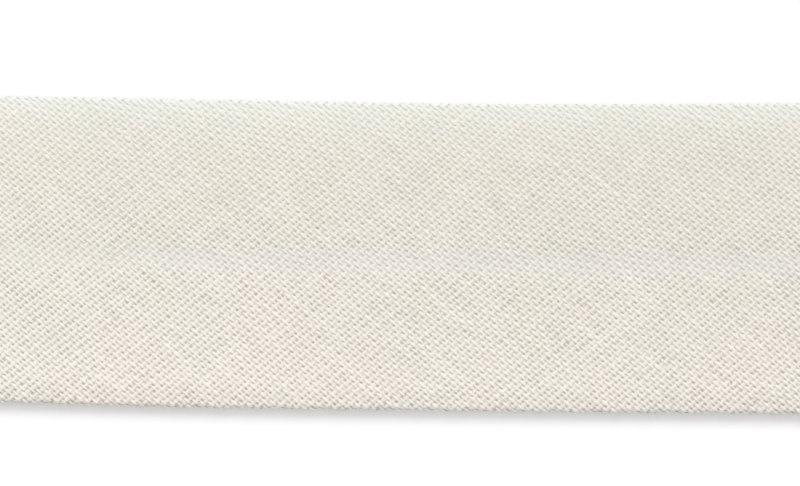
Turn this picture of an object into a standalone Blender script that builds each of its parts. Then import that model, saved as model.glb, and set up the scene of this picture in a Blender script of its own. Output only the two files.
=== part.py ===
# A cut length of bias tape, lying flat with its right side up.
# Both long edges are turned under, so that their raw edges face each other across a narrow slot
# on the back. X runs along the tape, +Y is its upper edge, and Z = 0 is what it lies on.
import math

import bmesh
import bpy

# Driving dimensions, in metres
tape_length = 0.100
folded_width = 0.025
cloth_thickness = 0.0010
layer_gap = 0.0004
slot_width = 0.0018  # between the two raw edges on the back
slot_shift = -0.0005  # the slot lies this far off the middle

# The edges aren't straight: a slow wave in each, and the whole strip bows a little
strip_bow = 0.00012
upper_wave = 0.00012
upper_wave_length = 0.084
upper_wave_peak = 0.010
lower_wave = 0.00005
lower_wave_length = 0.160
height_wave = 0.00006
height_wave_length = 0.047

# Height of the face over its own level, from the lower fold (0) to the upper fold (1)
face_profile = [
    {"across": 0.00, "lift": 0.00000},
    {"across": 0.05, "lift": 0.00010},
    {"across": 0.12, "lift": 0.00018},
    {"across": 0.25, "lift": 0.00012},
    {"across": 0.40, "lift": 0.00004},
    {"across": 0.435, "lift": -0.00004},
    {"across": 0.48, "lift": -0.00016},
    {"across": 0.525, "lift": -0.00004},
    {"across": 0.58, "lift": 0.00004},
    {"across": 0.72, "lift": 0.00009},
    {"across": 0.87, "lift": 0.00010},
    {"across": 0.95, "lift": 0.00004},
    {"across": 1.00, "lift": 0.00000},
]

# How finely the shape is divided
lengthwise_steps = 26
fold_steps = 8
flap_steps = 3
face_steps = 20

# Levels and radii that follow from the sizes above
half_cloth = cloth_thickness / 2
flap_level = half_cloth
face_level = flap_level + cloth_thickness + layer_gap
fold_radius = (face_level - flap_level) / 2
fold_reach = fold_radius + half_cloth


def upper_edge(x):
    """Y of the tape's upper edge at x."""
    wave = upper_wave * math.cos(2 * math.pi * (x - upper_wave_peak) / upper_wave_length)
    return folded_width / 2 + bow(x) - wave


def lower_edge(x):
    """Y of the tape's lower edge at x."""
    wave = lower_wave * math.sin(2 * math.pi * x / lower_wave_length)
    return -folded_width / 2 + bow(x) - wave


def bow(x):
    """How far the strip's middle line leaves the straight line at x."""
    return strip_bow * ((2 * x / tape_length) ** 2 - 0.5)


def face_lift(across, x):
    """Height of the face over its level, smoothed between the rows of the profile."""
    for low, high in zip(face_profile, face_profile[1:]):
        if across <= high["across"]:
            break
    share = (across - low["across"]) / (high["across"] - low["across"])
    eased = share * share * (3 - 2 * share)
    lift = low["lift"] + eased * (high["lift"] - low["lift"])
    ripple = height_wave * math.sin(2 * math.pi * x / height_wave_length + 3 * across)
    return lift + ripple * math.sin(math.pi * across)


def blend(start, end, share):
    return start + (end - start) * share


def middle_line(x):
    """The cloth's middle line across the section at x, raw edge to raw edge.

    Each point is (y, z) with the unit normal of the cloth's right side, which faces out.
    """
    lower_hinge = lower_edge(x) + fold_reach
    upper_hinge = upper_edge(x) - fold_reach
    hinge_level = flap_level + fold_radius
    slot_middle = (lower_edge(x) + upper_edge(x)) / 2 + slot_shift
    points = []
    for step in range(flap_steps):
        y = blend(slot_middle - slot_width / 2, lower_hinge, step / flap_steps)
        points.append(((y, flap_level), (0, -1)))
    for step in range(fold_steps):
        turn = math.pi * step / fold_steps
        out = (-math.sin(turn), -math.cos(turn))
        points.append(fold_point(lower_hinge, hinge_level, out))
    for step in range(face_steps + 1):
        across = step / face_steps
        y = blend(lower_hinge, upper_hinge, across)
        points.append(((y, face_level + face_lift(across, x)), face_normal(across, x)))
    for step in range(1, fold_steps + 1):
        turn = math.pi * step / fold_steps
        out = (math.sin(turn), math.cos(turn))
        points.append(fold_point(upper_hinge, hinge_level, out))
    for step in range(1, flap_steps + 1):
        y = blend(upper_hinge, slot_middle + slot_width / 2, step / flap_steps)
        points.append(((y, flap_level), (0, -1)))
    return points


def fold_point(hinge, level, out):
    """A point of a fold's middle line, with its normal."""
    return (hinge + fold_radius * out[0], level + fold_radius * out[1]), out


def face_normal(across, x):
    """The face's upward normal in the section, from its slope."""
    before = max(across - 0.5 / face_steps, 0)
    after = min(across + 0.5 / face_steps, 1)
    run = (after - before) * (folded_width - 2 * fold_reach)
    slope = (face_lift(after, x) - face_lift(before, x)) / run
    length = math.hypot(slope, 1)
    return -slope / length, 1 / length


def section(x):
    """The closed outline of the cloth at x: its right side, then its wrong side back again."""
    points = middle_line(x)
    right_side = [(y + half_cloth * a, z + half_cloth * b) for (y, z), (a, b) in points]
    wrong_side = [(y - half_cloth * a, z - half_cloth * b) for (y, z), (a, b) in points]
    return right_side + wrong_side[::-1]


def folded_cloth(name):
    """The folded strip as one closed solid, built from sections along X."""
    mesh = bmesh.new()
    rings = []
    for step in range(lengthwise_steps + 1):
        x = tape_length * (step / lengthwise_steps - 0.5)
        rings.append([mesh.verts.new((x, y, z)) for y, z in section(x)])
    count = len(rings[0])
    for near, far in zip(rings, rings[1:]):
        for i in range(count):
            j = (i + 1) % count
            mesh.faces.new((near[i], near[j], far[j], far[i]))
    mesh.faces.new(rings[0][::-1])
    mesh.faces.new(rings[-1])
    bmesh.ops.recalc_face_normals(mesh, faces=mesh.faces)
    data = bpy.data.meshes.new(name)
    mesh.to_mesh(data)
    mesh.free()
    data.shade_smooth()
    data.set_sharp_from_angle(angle=math.radians(40))
    part = bpy.data.objects.new(name, data)
    bpy.context.scene.collection.objects.link(part)
    return part


def cotton(name):
    """Unbleached cotton: a warm off-white with no shine."""
    material = bpy.data.materials.new(name)
    material.use_nodes = True
    surface = material.node_tree.nodes["Principled BSDF"]
    surface.inputs["Base Color"].default_value = (0.78, 0.74, 0.65, 1)
    surface.inputs["Roughness"].default_value = 0.9
    surface.inputs["Metallic"].default_value = 0
    return material


for old in list(bpy.data.objects):
    bpy.data.objects.remove(old)

tape = folded_cloth("bias_tape")
tape.data.materials.append(cotton("cream_cotton"))
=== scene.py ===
import math

import bpy
import numpy as np
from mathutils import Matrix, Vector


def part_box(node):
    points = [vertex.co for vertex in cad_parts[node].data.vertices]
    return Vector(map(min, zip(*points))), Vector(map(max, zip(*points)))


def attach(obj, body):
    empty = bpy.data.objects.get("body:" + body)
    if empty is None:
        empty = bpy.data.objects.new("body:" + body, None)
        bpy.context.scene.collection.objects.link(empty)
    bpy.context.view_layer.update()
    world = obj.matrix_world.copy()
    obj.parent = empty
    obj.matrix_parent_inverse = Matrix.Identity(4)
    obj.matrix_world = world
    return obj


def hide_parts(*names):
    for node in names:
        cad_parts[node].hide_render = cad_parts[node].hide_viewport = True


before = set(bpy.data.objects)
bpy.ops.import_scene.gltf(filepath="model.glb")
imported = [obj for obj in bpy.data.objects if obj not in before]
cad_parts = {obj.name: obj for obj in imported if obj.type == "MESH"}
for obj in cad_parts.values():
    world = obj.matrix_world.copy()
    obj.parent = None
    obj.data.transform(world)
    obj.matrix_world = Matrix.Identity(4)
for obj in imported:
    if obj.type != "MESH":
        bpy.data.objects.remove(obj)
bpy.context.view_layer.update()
print("frame loaded:", sorted(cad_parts))


class Wire:  # a node's output, with arithmetic that adds Math nodes
    def __init__(self, graph, socket):
        self.graph = graph
        self.socket = socket

    def maths(self, operation, first, second):
        settings = {"operation": operation}
        return self.graph.add("ShaderNodeMath", settings, {0: first, 1: second})

    def __add__(self, other):
        return self.maths("ADD", self, other)

    def __sub__(self, other):
        return self.maths("SUBTRACT", self, other)

    def __mul__(self, other):
        return self.maths("MULTIPLY", self, other)

    def __truediv__(self, other):
        return self.maths("DIVIDE", self, other)

    def __gt__(self, other):
        return self.maths("GREATER_THAN", self, other)

    def __lt__(self, other):
        return self.maths("LESS_THAN", self, other)

    def __abs__(self):
        return self.maths("ABSOLUTE", self, 0.0)

    def sine(self):
        return self.maths("SINE", self, 0.0)

    def clamped(self):
        return self.graph.add("ShaderNodeClamp", {}, {"Value": self})


class Graph:  # a node tree, shader or geometry, filled by one method
    def __init__(self, tree):
        self.tree = tree

    def add(self, kind, settings=None, inputs=None, output=0):
        node = self.tree.nodes.new(kind)
        for name, value in (settings or {}).items():
            setattr(node, name, value)
        for name, value in (inputs or {}).items():
            if isinstance(value, Wire):
                self.tree.links.new(value.socket, node.inputs[name])
            else:
                node.inputs[name].default_value = value
        return Wire(self, node.outputs[output])

    def mixed(self, share, first, second):  # a blend of two colours
        settings = {"data_type": "RGBA", "clamp_factor": True}
        return self.add("ShaderNodeMix", settings, {0: share, 6: first, 7: second}, 2)

    def tinted(self, colour, tint):  # a colour times another
        settings = {"data_type": "RGBA", "blend_type": "MULTIPLY"}
        return self.add("ShaderNodeMix", settings, {0: 1.0, 6: colour, 7: tint}, 2)

    def attribute(self, name):
        return self.add("ShaderNodeAttribute", {"attribute_name": name}, {}, 2)


# The folded tape, in metres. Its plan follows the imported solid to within 0.25 mm, and its
# layers are as thin as real cloth
tape = {
    "length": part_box("bias_tape")[1].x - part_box("bias_tape")[0].x,
    "foldedWidth": 0.025,
    "halfCloth": 0.00013,
    "flapLevel": 0.00018,
    "lowerLift": 0.00010,  # the lower edge curls up off the table by this much
    # the lower fold is a soft roll, widest low down, and the upper fold is pressed flat
    "lowerFold": {"depth": 0.00024, "radius": 0.00041, "droop": 0.00016},
    "upperFold": {"depth": 0.00016, "radius": 0.00014, "droop": 0.0},
    "foldSteps": 65,  # how finely a fold's length is measured
    "slotWidth": 0.0018,  # between the two raw edges on the back
    "slotShift": -0.0005,  # the slot lies this far off the middle
    "slotEdge": 0.00050,  # a flap's edge fades over this much
    "marginReach": 0.0013,  # the upper margin is pressed flat and paler with painted light, fading over this much
    "marginPress": 0.85,  # the share of the yarns' height lost there
    "marginSpread": 0.36,  # how much wider the yarns are there
    "stripBow": 0.00012,
    "upperWave": 0.00015,
    "upperWaveLength": 0.084,
    "upperWavePeak": 0.008,
    "upperLean": 0.0023,  # the tape widens a little towards the right
    "lowerWave": 0.00005,
    "lowerWaveLength": 0.160,
    # the lower edge draws in here
    "lowerDip": {"place": -0.034, "depth": 0.00024, "reach": 0.0085},
    "heightWave": 0.00004,
    "heightWaveLength": 0.047,
    "heightWaveSlant": 3,
    # height of the face in mm over the straight line between its folds, lower to upper
    "across": [0.00, 0.03, 0.06, 0.08, 0.16, 0.25, 0.42, 0.45, 0.48, 0.51, 0.55, 0.80, 0.93, 1.00],
    "lift": [0.00, 0.12, 0.13, 0.09, -0.02, -0.07, -0.15, -0.20, -0.23, -0.20, -0.14, 0.06, 0.08, 0.00],
    "liftSteps": 501,
    "liftBlur": 12,  # steps either side that the lift is blurred over
    "blurTail": 2,  # where the blur's bell curve ends
    "slopeReach": 0.004,  # the share of the face over which its slope is measured
}


def faceProfile():  # the face's lift in metres at even steps across it, with no corners
    places = np.linspace(0, 1, tape["liftSteps"])
    lifts = np.interp(places, tape["across"], tape["lift"]) * 0.001
    reach = tape["liftBlur"]
    blur = np.exp(-np.linspace(-tape["blurTail"], tape["blurTail"], 2 * reach + 1) ** 2)
    lifts = np.convolve(np.pad(lifts, reach, mode="edge"), blur / blur.sum(), "valid")
    return places, lifts


facePlaces, faceLifts = faceProfile()


def bow(s):  # how far the whole strip bows sideways at s along it
    return tape["stripBow"] * ((2 * s / tape["length"]) ** 2 - 0.5)


def upperEdge(s):
    turn = 2 * np.pi * (s - tape["upperWavePeak"]) / tape["upperWaveLength"]
    straight = tape["foldedWidth"] / 2 + tape["upperLean"] * s
    return straight + bow(s) - tape["upperWave"] * np.cos(turn)


def lowerEdge(s):
    turn = 2 * np.pi * s / tape["lowerWaveLength"]
    dip = tape["lowerDip"]
    drawn = dip["depth"] * np.exp(-0.5 * ((s - dip["place"]) / dip["reach"]) ** 2)
    return -tape["foldedWidth"] / 2 + bow(s) - tape["lowerWave"] * np.sin(turn) + drawn


def foldSteep(turns, fold):  # how fast a fold's half oval climbs as it turns
    return (fold["radius"] - 2 * fold["droop"] * np.cos(turns)) * np.sin(turns)


def foldWay(fold):  # even turns, 0 to pi, and the way along the cloth at each
    turns = np.linspace(0, np.pi, tape["foldSteps"])
    steps = np.hypot(fold["depth"] * np.cos(turns), foldSteep(turns, fold))
    way = np.cumsum((steps[1:] + steps[:-1]) / 2 * (turns[1] - turns[0]))
    return turns, np.concatenate([[0], way])


def foldTurn(share, fold):  # the turn at a share of the way round
    turns, way = foldWay(fold)
    return np.interp(share, way / way[-1], turns)


def foldLength(fold):
    return float(foldWay(fold)[1][-1])


def clothRuns():  # where each run of the cut width starts and ends, raw edge to raw edge
    half = tape["foldedWidth"] / 2
    lowerFlap = half - tape["lowerFold"]["depth"] - tape["halfCloth"]
    lowerFlap += tape["slotShift"] - tape["slotWidth"] / 2
    upperFlap = half - tape["upperFold"]["depth"] - tape["halfCloth"]
    upperFlap -= tape["slotShift"] + tape["slotWidth"] / 2
    face = tape["foldedWidth"] - 2 * tape["halfCloth"]
    face -= tape["lowerFold"]["depth"] + tape["upperFold"]["depth"]
    lowerTurn = foldLength(tape["lowerFold"])
    upperTurn = foldLength(tape["upperFold"])
    return np.cumsum([0.0, lowerFlap, lowerTurn, face, upperTurn, upperFlap])


runs = clothRuns()
cutWidth = float(runs[-1])


def acrossFace(t):  # 0 at the face's lower end, 1 at its upper end
    return np.clip((t - runs[2]) / (runs[3] - runs[2]), 0, 1)


def nearMargin(t):  # 1 on the upper fold, falling to 0 away from it
    return np.exp(-np.abs(t - (runs[3] + runs[4]) / 2) / tape["marginReach"])


def faceHeight(across, s):
    turn = 2 * np.pi * s / tape["heightWaveLength"] + tape["heightWaveSlant"] * across
    ripple = tape["heightWave"] * np.sin(turn)
    lower = tape["flapLevel"] + tape["lowerLift"] + 2 * tape["lowerFold"]["radius"]
    upper = tape["flapLevel"] + 2 * tape["upperFold"]["radius"]
    lift = np.interp(across, facePlaces, faceLifts)
    return lower + (upper - lower) * across + lift + ripple * np.sin(np.pi * across)


def folded(s, t):
    # For s along the tape and t across its cut width, from the lower flap's raw edge to the
    # upper one's: the point of the cloth's middle, the outward normal of its right side, and
    # from 0 to 1 how far the cloth is single and how near it is to the paler upper margin
    lowerFold, upperFold = tape["lowerFold"], tape["upperFold"]
    lowerHinge = lowerEdge(s) + lowerFold["depth"] + tape["halfCloth"]
    upperHinge = upperEdge(s) - upperFold["depth"] - tape["halfCloth"]
    slotMiddle = (lowerEdge(s) + upperEdge(s)) / 2 + tape["slotShift"]
    y = np.zeros_like(s)
    z = np.full_like(s, tape["flapLevel"])
    normal = np.zeros(s.shape + (3,))
    normal[..., 2] = -1
    single = np.zeros_like(s)

    here = t <= runs[1]
    share = (t - runs[0]) / (runs[1] - runs[0])
    start = slotMiddle - tape["slotWidth"] / 2
    y[here] = (start + (lowerHinge - start) * share)[here]
    z[here] += tape["lowerLift"] * (share * share)[here]

    here = (t > runs[1]) & (t < runs[2])
    turn = foldTurn((t - runs[1]) / (runs[2] - runs[1]), lowerFold)
    y[here] = (lowerHinge - lowerFold["depth"] * np.sin(turn))[here]
    climb = lowerFold["radius"] * (1 - np.cos(turn)) - lowerFold["droop"] * np.sin(turn) ** 2
    z[here] += (tape["lowerLift"] + climb)[here]
    normal[here, 1] = -foldSteep(turn, lowerFold)[here]
    normal[here, 2] = -lowerFold["depth"] * np.cos(turn)[here]

    here = (t >= runs[2]) & (t <= runs[3])
    across = acrossFace(t)
    y[here] = (lowerHinge + (upperHinge - lowerHinge) * across)[here]
    z[here] = faceHeight(across, s)[here]
    before = np.clip(across - tape["slopeReach"], 0, 1)
    after = np.clip(across + tape["slopeReach"], 0, 1)
    rise = faceHeight(after, s) - faceHeight(before, s)
    slope = rise / ((after - before) * (runs[3] - runs[2]))
    normal[here, 1] = -slope[here]
    normal[here, 2] = 1
    gap = (tape["slotWidth"] / 2 - np.abs(y - slotMiddle)) / tape["slotEdge"]
    single[here] = np.clip(0.5 + gap, 0, 1)[here]

    here = (t > runs[3]) & (t < runs[4])
    turn = foldTurn((t - runs[3]) / (runs[4] - runs[3]), upperFold)
    y[here] = (upperHinge + upperFold["depth"] * np.sin(turn))[here]
    z[here] += upperFold["radius"] * (1 + np.cos(turn))[here]
    normal[here, 1] = upperFold["radius"] * np.sin(turn)[here]
    normal[here, 2] = upperFold["depth"] * np.cos(turn)[here]

    here = t >= runs[4]
    share = (t - runs[4]) / (runs[5] - runs[4])
    end = slotMiddle + tape["slotWidth"] / 2
    y[here] = (upperHinge + (end - upperHinge) * share)[here]

    normal /= np.linalg.norm(normal, axis=-1, keepdims=True)
    return np.stack([s, y, z], -1), normal, single, nearMargin(t)


# The weave: warp runs down to the right on the face, weft runs up to the right
weave = {
    "warpAngle": math.radians(39.55),
    "weftAngle": math.radians(39.65),
    "warpSpacing": 0.0003305,
    "weftSpacing": 0.0004945,
    "pairing": 0.045,  # warp threads lie in pairs, moved this share of a spacing
    "stray": 0.015,  # how far a whole yarn lies off its place
    "wander": 0.06,  # how far it wanders off it on its way
    "wanderReach": 2.5,
    "drift": 0.07,  # slow shift shared by neighbouring threads
    "driftReach": 14,
    "patchReach": 14,  # patches of looser and tighter cloth are about this many threads across
    "patchLength": 56,  # and reach this many crossings along the threads
    "reliefLean": 0.3,  # the threads stand higher towards the lower edge
    "reliefSpread": 0.20,
    "reliefReach": 6,
    "fray": (-0.00004, 0.00016),  # how far the yarn ends stand out over the cut edges
    "fewestSamples": 9,  # shorter bits of yarn, at the corners, are left out
    "fewestPoints": 4,
    "seed": 7,
}
warp = {
    "name": "warp",
    "halfWidth": 0.000116,
    "flatness": 0.48,
    "rise": 0.000056,
    "bulge": 0.14,  # wider where it passes over, narrower where it passes under
    "hold": 0.22,  # keeps its height for this share of a spacing either side of a crossing
    "lightness": 0.60,  # from the deep to the light cotton colour; the warp's is higher partly as painted sheen on its higher ridges
    # painted highlight on the crowns, painted shade where the yarn passes under
    "crownHighlight": 0.15,
    "slub": 0.14,
    "slubReach": 5,
    "sizeSpread": 0.010,
    "patchSpread": 0.030,
    "sides": 5,
    "pieces": 3,
}
weft = {
    "name": "weft",
    "halfWidth": 0.000152,
    "flatness": 0.145,
    "rise": 0.000006,
    "bulge": 0.12,
    "hold": 0.22,
    "lightness": 0.42,
    # painted highlight on the crowns, painted shade where the yarn passes under
    "crownHighlight": 0.05,
    "slub": 0.08,
    "slubReach": 8,
    "sizeSpread": 0.010,
    "patchSpread": 0.030,
    "sides": 5,
    "pieces": 3,
}
sinSum = math.sin(weave["warpAngle"] + weave["weftAngle"])
alongWarp = np.array([math.cos(weave["warpAngle"]), -math.sin(weave["warpAngle"])])
alongWeft = np.array([math.cos(weave["weftAngle"]), math.sin(weave["weftAngle"])])
warpStep = alongWarp * weave["weftSpacing"] / sinSum  # from one weft to the next
weftStep = alongWeft * weave["warpSpacing"] / sinSum  # from one warp to the next
random = np.random.default_rng(weave["seed"])


def smoothNoise(shape, reach):  # unit noise, smooth over reach[axis] crossings on each axis
    noise = random.normal(size=shape)
    spectrum = np.fft.fft2(noise)
    for axis, width in enumerate(reach):
        waves = np.fft.fftfreq(shape[axis])
        keep = np.exp(-2 * (np.pi * width * waves) ** 2)
        spectrum = spectrum * (keep[:, None] if axis == 0 else keep[None, :])
    noise = np.fft.ifft2(spectrum).real
    return noise / noise.std()


def latticeSpan():  # the warp and weft numbers that the cut cloth needs
    corners = [(a * tape["length"] / 2, b * cutWidth / 2) for a in (-1, 1) for b in (-1, 1)]
    steps = np.linalg.inv(np.stack([weftStep, warpStep], 1))
    numbers = np.array([steps @ corner for corner in corners])
    low = np.floor(numbers.min(0)).astype(int) - 2
    high = np.ceil(numbers.max(0)).astype(int) + 3
    return low, high


low, high = latticeSpan()
warpNumbers = np.arange(low[0], high[0])
weftNumbers = np.arange(low[1], high[1])
gridShape = (len(warpNumbers), len(weftNumbers))
warpShift = weave["wander"] * smoothNoise(gridShape, (0, weave["wanderReach"]))
warpShift += weave["stray"] * random.normal(size=(gridShape[0], 1))
warpShift += weave["drift"] * smoothNoise(gridShape, (weave["driftReach"], weave["driftReach"]))
warpShift += weave["pairing"] * np.where(warpNumbers % 2 == 0, 1, -1)[:, None]
weftShift = weave["wander"] * smoothNoise(gridShape, (weave["wanderReach"], 0))
weftShift += weave["stray"] * random.normal(size=(1, gridShape[1]))
weftShift += weave["drift"] * smoothNoise(gridShape, (weave["driftReach"], weave["driftReach"]))


def between(grid, axis, places):  # the grid's values at places between its rows or columns
    first = np.clip(np.floor(places).astype(int), 0, grid.shape[axis] - 2)
    share = places - first
    lower = np.take(grid, first, axis)
    upper = np.take(grid, first + 1, axis)
    share = share[None, :] if axis == 1 else share[:, None]
    return lower + (upper - lower) * share


def yarnPaths(kind):
    # Each yarn of the kind as rows (s, t, height, width factor, crown), cut to the outline
    isWarp = kind["name"] == "warp"
    own, crossed = (warpNumbers, weftNumbers) if isWarp else (weftNumbers, warpNumbers)
    axis = 1 if isWarp else 0
    # beside, on and beside a crossing, and halfway to the next
    nearCrossing = np.array([-kind["hold"], 0.0, kind["hold"], 0.5])
    perCrossing = len(nearCrossing)
    places = (np.arange(len(crossed))[:, None] + nearCrossing).ravel()
    sample = np.arange(len(places)) % perCrossing
    onCrossing, halfway = sample == 1, sample == perCrossing - 1
    warpMove = between(warpShift, axis, places)
    weftMove = between(weftShift, axis, places)
    if isWarp:
        i = own[:, None] + warpMove
        j = places[None, :] + crossed[0] + weftMove
    else:
        i = (places[:, None] + crossed[0] + warpMove).T
        j = (own[None, :] + weftMove).T
    flat = i[..., None] * weftStep + j[..., None] * warpStep
    s = flat[..., 0]
    t = flat[..., 1] + cutWidth / 2
    count = s.shape
    parity = (own[:, None] + np.repeat(crossed, perCrossing)[None, :]) % 2
    crown = np.where(parity == (0 if isWarp else 1), 1.0, -1.0) * ~halfway
    relief = 1 + weave["reliefSpread"] * smoothNoise(count, (0, weave["reliefReach"]))
    lifted = kind["rise"] * crown * relief
    swell = 1 + kind["slub"] * smoothNoise(count, (0, kind["slubReach"]))
    swell += kind["sizeSpread"] * random.normal(size=(count[0], 1))
    patches = smoothNoise(count, (weave["patchReach"], weave["patchLength"]))
    swell += kind["patchSpread"] * patches
    swell = swell * (1 + kind["bulge"] * crown)
    pressed = nearMargin(t)
    lifted = lifted * (1 - tape["marginPress"] * pressed)
    lifted = lifted * (1 + weave["reliefLean"] * (0.5 - acrossFace(t)))
    swell = swell * (1 + tape["marginSpread"] * pressed)
    onFlap = (t < runs[1]) | (t > runs[4])
    onFold = ~onFlap & ((t < runs[2]) | (t > runs[3]))
    # the flaps' hidden weave has one point per crossing, the face two and the folds all four
    beside = ~onCrossing & ~halfway
    wanted = np.where(onFlap, onCrossing, beside | onFold)
    tone = random.normal(size=count[0])
    yarns = []
    fray = random.uniform(*weave["fray"], size=(count[0], 2))
    for row in range(count[0]):
        inside = (abs(s[row]) < tape["length"] / 2) & (t[row] > 0) & (t[row] < cutWidth)
        found = np.flatnonzero(inside)
        if len(found) < weave["fewestSamples"]:
            continue
        kept = found[wanted[row, found]]
        if len(kept) < weave["fewestPoints"]:
            continue
        path = np.stack([s[row], t[row], lifted[row], swell[row], crown[row]], -1)[kept]
        path[0, :2] += cutEnd(path[0], path[1], fray[row, 0])
        path[-1, :2] += cutEnd(path[-1], path[-2], fray[row, 1])
        # the crowns get a painted highlight, the stretches under a crossing painted shade
        path[:, 4] = kind["lightness"] + kind["crownHighlight"] * path[:, 4]
        yarns.append((path, tone[row]))
    return yarns


def cutEnd(end, before, fray):  # moves a yarn's end onto the cut line, and a little past it
    way = end[:2] - before[:2]
    way = way / np.linalg.norm(way)
    parallel = 1e-6  # a yarn that keeps along an edge never meets it
    room = []
    if abs(way[0]) > parallel:
        room.append((math.copysign(tape["length"] / 2, way[0]) - end[0]) / way[0])
    if abs(way[1]) > parallel:
        room.append(((cutWidth if way[1] > 0 else 0.0) - end[1]) / way[1])
    return way * (min(room) + fray)


tube = {
    "longest": 0.080,  # the longest yarn that the UV map has room for
    "archStart": math.radians(-110),  # the section is an arch, closed flat towards the cloth
    "archSweep": math.radians(220),
    "rowMargin": 0.08,  # the gap between two yarns' rows in the UV map
    "seamJump": 0.25,  # a corner this far off its face's mean has passed the seam
}


def yarnLines(name, yarns):
    # The yarns' middle lines as one mesh of edges, with what the tubes and the cotton need
    sizes = [len(path) for path, tone in yarns]
    whole = np.concatenate([path for path, tone in yarns])
    where, normal, single, margin = folded(whole[:, 0], np.clip(whole[:, 1], 0, cutWidth))
    beyond = whole[:, 1] - np.clip(whole[:, 1], 0, cutWidth)
    where[:, 1] -= beyond
    points = where + normal * whole[:, 2:3]
    starts = np.cumsum([0] + sizes[:-1])
    firsts = np.ones(len(points), bool)
    firsts[starts] = False
    ends = np.flatnonzero(firsts)
    edges = np.stack([ends - 1, ends], 1)
    steps = np.zeros(len(points))
    steps[ends] = np.linalg.norm(points[ends] - points[ends - 1], axis=1)
    along = np.cumsum(steps)
    along -= np.repeat(along[starts], sizes)
    if along.max() > tube["longest"]:
        raise ValueError("a yarn is longer than its room in the UV map")
    mesh = bpy.data.meshes.new(name)
    mesh.vertices.add(len(points))
    mesh.vertices.foreach_set("co", points.ravel())
    mesh.edges.add(len(edges))
    mesh.edges.foreach_set("vertices", edges.ravel())
    values = {
        "swell": whole[:, 3],
        "lightness": whole[:, 4],
        "single": single,
        "margin": margin,
        "across": acrossFace(whole[:, 1]),
        "along": along,
        "row": np.repeat(np.arange(len(yarns)), sizes).astype(float),
        "tone": np.repeat([tone for path, tone in yarns], sizes),
    }
    for key, data in values.items():
        mesh.attributes.new(key, "FLOAT", "POINT").data.foreach_set("value", data)
    facing = mesh.attributes.new("clothNormal", "FLOAT_VECTOR", "POINT")
    facing.data.foreach_set("vector", normal.ravel())
    mesh.update()
    piece = bpy.data.objects.new(name, mesh)
    bpy.context.scene.collection.objects.link(piece)
    return piece


def yarnTree():
    # Sweeps a flattened round section along each line, its flat side to the cloth
    tree = bpy.data.node_groups.new("yarnTubes", "GeometryNodeTree")
    face = tree.interface
    face.new_socket("Geometry", in_out="INPUT", socket_type="NodeSocketGeometry")
    for name, kind in (
        ("Half width", "NodeSocketFloat"),
        ("Flatness", "NodeSocketFloat"),
        ("Sides", "NodeSocketInt"),
        ("Rows", "NodeSocketFloat"),
        ("Longest", "NodeSocketFloat"),
        ("Cotton", "NodeSocketMaterial"),
    ):
        face.new_socket(name, in_out="INPUT", socket_type=kind)
    face.new_socket("Geometry", in_out="OUTPUT", socket_type="NodeSocketGeometry")
    graph = Graph(tree)
    entry = tree.nodes.new("NodeGroupInput")
    given = {socket.name: Wire(graph, socket) for socket in entry.outputs if socket.name}

    def named(name, kind="FLOAT"):
        return graph.add("GeometryNodeInputNamedAttribute", {"data_type": kind}, {"Name": name})

    lines = graph.add("GeometryNodeMeshToCurve", {}, {"Mesh": given["Geometry"]})
    facing = {"Curve": lines, "Normal": named("clothNormal", "FLOAT_VECTOR")}
    lines = graph.add("GeometryNodeSetCurveNormal", {"mode": "FREE"}, facing)
    arch = {"Resolution": given["Sides"], "Radius": 1.0}
    arch["Start Angle"], arch["Sweep Angle"] = tube["archStart"], tube["archSweep"]
    ring = graph.add("GeometryNodeCurveArc", {"mode": "RADIUS"}, arch)
    ring = graph.add("GeometryNodeSetSplineCyclic", {}, {"Geometry": ring, "Cyclic": True})
    flat = graph.add("ShaderNodeCombineXYZ", {}, {0: given["Flatness"], 1: 1.0, 2: 1.0})
    ring = graph.add("GeometryNodeTransform", {}, {"Geometry": ring, "Scale": flat})
    around = graph.add("GeometryNodeSplineParameter", {})
    stored = {"Geometry": ring, "Name": "around", "Value": around}
    ring = graph.add("GeometryNodeStoreNamedAttribute", {"domain": "POINT"}, stored)
    swept = {"Curve": lines, "Profile Curve": ring, "Fill Caps": True}
    swept["Scale"] = given["Half width"] * named("swell")
    tubes = graph.add("GeometryNodeCurveToMesh", {}, swept)
    # the way round, made continuous over each tube's seam
    turn = named("around")
    mean = graph.add("GeometryNodeFieldOnDomain", {"domain": "FACE"}, {"Value": turn})
    seam = (abs(turn - mean) > tube["seamJump"]) * (turn < 0.5)
    turn = (turn + seam) * (1 - 2 * tube["rowMargin"])
    height = (named("row") + tube["rowMargin"] + turn) / given["Rows"]
    along = named("along") / given["Longest"]
    place = graph.add("ShaderNodeCombineXYZ", {}, {0: along, 1: height, 2: 0.0})
    settings = {"data_type": "FLOAT2", "domain": "CORNER"}
    stored = {"Geometry": tubes, "Name": "OFBake", "Value": place}
    tubes = graph.add("GeometryNodeStoreNamedAttribute", settings, stored)
    tubes = graph.add("GeometryNodeRealizeInstances", {}, {"Geometry": tubes})
    dressed = {"Geometry": tubes, "Material": given["Cotton"]}
    tubes = graph.add("GeometryNodeSetMaterial", {}, dressed)
    leave = tree.nodes.new("NodeGroupOutput")
    tree.links.new(tubes.socket, leave.inputs[0])
    return tree


def runTree(piece, tree, values):  # applies a tree to a piece and leaves a plain mesh
    modifier = piece.modifiers.new(tree.name, "NODES")
    modifier.node_group = tree
    for item in tree.interface.items_tree:
        if item.in_out == "INPUT" and item.name in values:
            modifier[item.identifier] = values[item.name]
    piece.update_tag()
    graph = bpy.context.evaluated_depsgraph_get()
    made = bpy.data.meshes.new_from_object(piece.evaluated_get(graph), depsgraph=graph)
    piece.modifiers.clear()
    lines = piece.data
    piece.data = made
    made.name = piece.name
    bpy.data.meshes.remove(lines)
    made.shade_smooth()
    return piece


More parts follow.
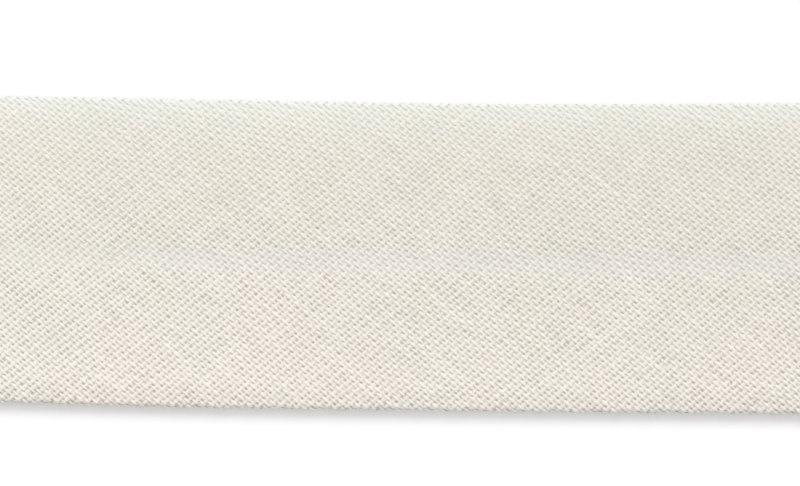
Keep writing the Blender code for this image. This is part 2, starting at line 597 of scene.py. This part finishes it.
# Cotton, with colours in the renderer's own linear values
cotton = {
    "lightColour": (0.849, 0.825, 0.747, 1),
    "deepColour": (0.700, 0.675, 0.592, 1),
    # painted light: the face is paler where it is a single layer, over the slot
    "paintedSingleLight": (0.752, 0.741, 0.700, 1),
    "singleShare": 0.5,
    # painted light on the upper margin
    "paintedMarginLight": (0.782, 0.799, 0.756, 1),
    "warmTint": (1.0, 0.989, 1.0, 1),
    "coolTint": (0.968, 0.980, 0.965, 1),
    "tintSize": 0.008,  # the slow unevenness of the undyed cloth
    "tintDetail": 2.0,
    "tintDrift": 2.5,
    "upperShadeLean": 0.9,  # painted shade: darker and cooler towards the upper edge
    "shadeTint": (0.935, 0.932, 0.940, 1),  # painted shade, a little deeper towards the upper right
    "noShade": (1, 1, 1, 1),
    "shadeAlong": 7.5,
    "shadeAcross": 0.52,
    "toneSpread": 0.03,
    "cloudSize": 0.0011,  # small uneven spots in the yarn
    "cloudDetail": 3.0,
    "cloudSpread": 0.3,
    "strands": 9.0,  # fibre bundles side by side round a yarn
    "twistLength": 0.0011,  # one full turn of the yarn's twist
    "twistWaver": 7.0,  # how far the spots push the bundles out of line
    "twistDepth": 0.000012,
    "twistStrength": 0.65,
    # painted shade in the grooves between the fibre bundles
    "twistShade": 0.30,
    "roughness": 0.85,
    "specular": 0.25,
}


def newMaterial(name, look):  # a material, its node graph and its surface shader
    material = bpy.data.materials.new(name)
    material.use_nodes = True
    surface = material.node_tree.nodes["Principled BSDF"]
    surface.inputs["Roughness"].default_value = look["roughness"]
    surface.inputs["Specular IOR Level"].default_value = look["specular"]
    return material, Graph(material.node_tree), surface


def toneAndPaintedShade(graph, place):  # drifts at random between two near-white tints over the cloth, with painted shade darker and cooler towards the upper edge and deeper towards the upper right
    drift = {"Vector": place, "Scale": 1 / cotton["tintSize"], "Detail": cotton["tintDetail"]}
    drift = (graph.add("ShaderNodeTexNoise", {}, drift) - 0.5) * cotton["tintDrift"]
    lean = (graph.attribute("across") - 0.5) * cotton["upperShadeLean"]
    tint = graph.mixed((drift + lean + 0.5).clamped(), cotton["warmTint"], cotton["coolTint"])
    shade = graph.add("ShaderNodeSeparateXYZ", {}, {0: place}) * cotton["shadeAlong"] + 0.5
    shade = shade + (graph.attribute("across") - 0.5) * cotton["shadeAcross"]
    shade = graph.mixed(shade.clamped(), cotton["noShade"], cotton["shadeTint"])
    return graph.tinted(tint, shade)


def cottonYarn(name):
    material, graph, surface = newMaterial(name, cotton)
    lightness = graph.attribute("lightness")
    single = graph.attribute("single")
    tone = graph.attribute("tone") * cotton["toneSpread"]
    place = graph.add("ShaderNodeTexCoord", {}, {}, 3)
    cloud = {"Vector": place, "Scale": 1 / cotton["cloudSize"], "Detail": cotton["cloudDetail"]}
    cloud = graph.add("ShaderNodeTexNoise", {}, cloud)
    turns = graph.attribute("around") + graph.attribute("along") / cotton["twistLength"]
    fibres = turns * (2 * math.pi * cotton["strands"]) + cloud * cotton["twistWaver"]
    fibres = fibres.sine() * 0.5 + 0.5
    share = lightness + (cloud - 0.5) * cotton["cloudSpread"] + tone
    share = (share + (fibres - 0.5) * cotton["twistShade"]).clamped()
    colour = graph.mixed(share, cotton["deepColour"], cotton["lightColour"])
    colour = graph.mixed(single * cotton["singleShare"], colour, cotton["paintedSingleLight"])
    colour = graph.mixed(graph.attribute("margin"), colour, cotton["paintedMarginLight"])
    colour = graph.tinted(colour, toneAndPaintedShade(graph, place))
    graph.tree.links.new(colour.socket, surface.inputs["Base Color"])
    bump = {"Strength": cotton["twistStrength"], "Distance": cotton["twistDepth"]}
    bump["Height"] = fibres
    bump = graph.add("ShaderNodeBump", {}, bump)
    graph.tree.links.new(bump.socket, surface.inputs["Normal"])
    return material


yarnCotton = cottonYarn("creamYarn")
tubes = yarnTree()
yarnPieces = []
for kind in (warp, weft):
    yarns = yarnPaths(kind)
    lengths = np.cumsum([len(path) for path, tone in yarns])
    share = np.minimum(kind["pieces"] * lengths // (lengths[-1] + 1), kind["pieces"] - 1)
    for part in range(kind["pieces"]):
        some = [yarn for yarn, where in zip(yarns, share) if where == part]
        piece = yarnLines(f"{kind['name']}Yarns{part + 1}", some)
        values = {
            "Half width": kind["halfWidth"],
            "Flatness": kind["flatness"],
            "Sides": kind["sides"],
            "Rows": float(len(some)),
            "Longest": tube["longest"],
            "Cotton": yarnCotton,
        }
        yarnPieces.append(runTree(piece, tubes, values))
        print(piece.name, len(some), "yarns,", len(piece.data.polygons), "faces")

# The ground: a thin closed sheet under the yarns, standing for the fluff in the holes between them, its
# dark colour painted shade seen down the holes
ground = {
    "halfThickness": 0.00002,
    "lengthSteps": 100,
    "runSteps": [10, 8, 44, 8, 10],
    "inset": 0.0001,  # it stops this short of the cut ends
    "level": -0.00003,  # under the cloth's middle
    # painted shade seen down the holes
    "colour": (0.483, 0.460, 0.407, 1),
    "filledColour": (0.72, 0.693, 0.628, 1),  # where a hole is full of fluff
    "fluffSize": 0.00045,  # about one hole
    "fluffDetail": 1.0,
    "fluffSpread": 3.2,
    "fluffShare": 0.30,
    "upperColour": (0.630, 0.606, 0.543, 1),  # the painted shade in the holes is paler in the upper half
    "upperFrom": 0.5,
    "upperGain": 2.2,
    # painted light in the holes where the cloth is a single layer
    "paintedSingleLight": (0.60, 0.588, 0.558, 1),
    # painted light in the holes of the upper margin
    "paintedMarginLight": (0.74, 0.74, 0.70, 1),
    "roughness": 1.0,
    "specular": 0.1,
}


def clothGround():
    parts = []
    for start, end, steps in zip(runs, runs[1:], ground["runSteps"]):
        parts.append(np.linspace(start, end, steps + 1)[:-1])
    t = np.concatenate(parts + [[cutWidth]])
    half = tape["length"] / 2 - ground["inset"]
    s = np.linspace(-half, half, ground["lengthSteps"] + 1)
    gridS, gridT = np.meshgrid(s, t, indexing="ij")
    where, normal, single, margin = folded(gridS, gridT)
    upper = where + normal * (ground["level"] + ground["halfThickness"])
    lower = where + normal * (ground["level"] - ground["halfThickness"])
    rows, columns = gridS.shape
    points = np.concatenate([upper.reshape(-1, 3), lower.reshape(-1, 3)])
    number = np.arange(rows * columns).reshape(rows, columns)
    a, b = number[:-1, :-1].ravel(), number[1:, :-1].ravel()
    c, d = number[1:, 1:].ravel(), number[:-1, 1:].ravel()
    under = rows * columns
    faces = [np.stack([a, b, c, d], 1), np.stack([a, d, c, b], 1) + under]
    rims = [(number[:, 0], 0), (number[:, -1], 1), (number[0, :], 1), (number[-1, :], 0)]
    for line, flip in rims:
        quad = np.stack([line[:-1], line[:-1] + under, line[1:] + under, line[1:]], 1)
        faces.append(quad[:, ::-1] if flip else quad)
    faces = np.concatenate(faces)
    mesh = bpy.data.meshes.new("clothGround")
    mesh.from_pydata(points.tolist(), [], faces.tolist())
    for key, data in (("single", single), ("margin", margin), ("across", acrossFace(gridT))):
        both = np.concatenate([data.ravel(), data.ravel()])
        mesh.attributes.new(key, "FLOAT", "POINT").data.foreach_set("value", both)
    mesh.shade_smooth()
    piece = bpy.data.objects.new("clothGround", mesh)
    bpy.context.scene.collection.objects.link(piece)
    return piece


def holeShadeFluff(name):
    material, graph, surface = newMaterial(name, ground)
    upper = (graph.attribute("across") - ground["upperFrom"]) * ground["upperGain"]
    colour = graph.mixed(upper.clamped(), ground["colour"], ground["upperColour"])
    colour = graph.mixed(graph.attribute("single"), colour, ground["paintedSingleLight"])
    colour = graph.mixed(graph.attribute("margin"), colour, ground["paintedMarginLight"])
    place = graph.add("ShaderNodeTexCoord", {}, {}, 3)
    fluff = {"Vector": place, "Scale": 1 / ground["fluffSize"], "Detail": ground["fluffDetail"]}
    fluff = (graph.add("ShaderNodeTexNoise", {}, fluff) - 0.5) * ground["fluffSpread"]
    fluff = (fluff + ground["fluffShare"]).clamped()
    colour = graph.mixed(fluff, colour, ground["filledColour"])
    graph.tree.links.new(colour.socket, surface.inputs["Base Color"])
    return material


groundPiece = clothGround()
groundPiece.data.materials.append(holeShadeFluff("creamFluffHoleShade"))
print("ground made, cut width", round(cutWidth, 5))

# The table, the camera straight above it, and light from beyond the tape's upper edge
view = {
    "pixels": (800, 486),
    "tapePixels": 310.8,
    "middleRow": 254.9,  # the frame row of the tape's middle line
    "roll": math.radians(0.53),
    "distance": 0.40,
    "sensor": 0.036,
    "focus": 0.0009,  # height of the face
    "nearest": 0.01,
}
metresPerPixel = tape["foldedWidth"] / view["tapePixels"]
frameWidth = metresPerPixel * view["pixels"][0]
lens = bpy.data.cameras.new("lens")
lens.sensor_width = view["sensor"] * 1000
lens.lens = view["sensor"] * 1000 * view["distance"] / frameWidth
lens.clip_start = view["nearest"]
camera = bpy.data.objects.new("camera", lens)
bpy.context.scene.collection.objects.link(camera)
below = (view["middleRow"] - view["pixels"][1] / 2) * metresPerPixel
camera.location = (
    -below * math.sin(view["roll"]),
    below * math.cos(view["roll"]),
    view["distance"] + view["focus"],
)
camera.rotation_euler = (0, 0, view["roll"])
bpy.context.scene.camera = camera

light = {
    "keyStrength": 1.55,
    "keyTilt": math.radians(47),
    "keySpread": math.radians(34),
    "keyTurn": math.radians(8),
    "skyStrength": 0.908,
    "skyColour": (1.0, 0.985, 0.992, 1),
}
key = bpy.data.lights.new("key", "SUN")
key.energy = light["keyStrength"]
key.angle = light["keySpread"]
keyObject = bpy.data.objects.new("key", key)
keyObject.rotation_euler = (-light["keyTilt"], 0, light["keyTurn"])
bpy.context.scene.collection.objects.link(keyObject)
world = bpy.data.worlds.new("studio")
world.use_nodes = True
sky = world.node_tree.nodes["Background"]
sky.inputs["Color"].default_value = light["skyColour"]
sky.inputs["Strength"].default_value = light["skyStrength"]
bpy.context.scene.world = world
bpy.context.scene.view_settings.view_transform = "Standard"

paper = {  # the white table
    "reach": 0.6,
    "colour": (0.87, 0.87, 0.87, 1),
    "roughness": 0.9,
    "specular": 0.5,
}
tableTop = bpy.data.meshes.new("table")
reach = paper["reach"]
corners = [(-reach, -reach, 0), (reach, -reach, 0), (reach, reach, 0), (-reach, reach, 0)]
tableTop.from_pydata(corners, [], [(0, 1, 2, 3)])
table = bpy.data.objects.new("table", tableTop)
bpy.context.scene.collection.objects.link(table)
white, whiteGraph, whiteSurface = newMaterial("tableWhite", paper)
whiteSurface.inputs["Base Color"].default_value = paper["colour"]
tableTop.materials.append(white)

for piece in yarnPieces + [groundPiece]:
    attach(piece, "root")
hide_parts("bias_tape")
print("dressed")
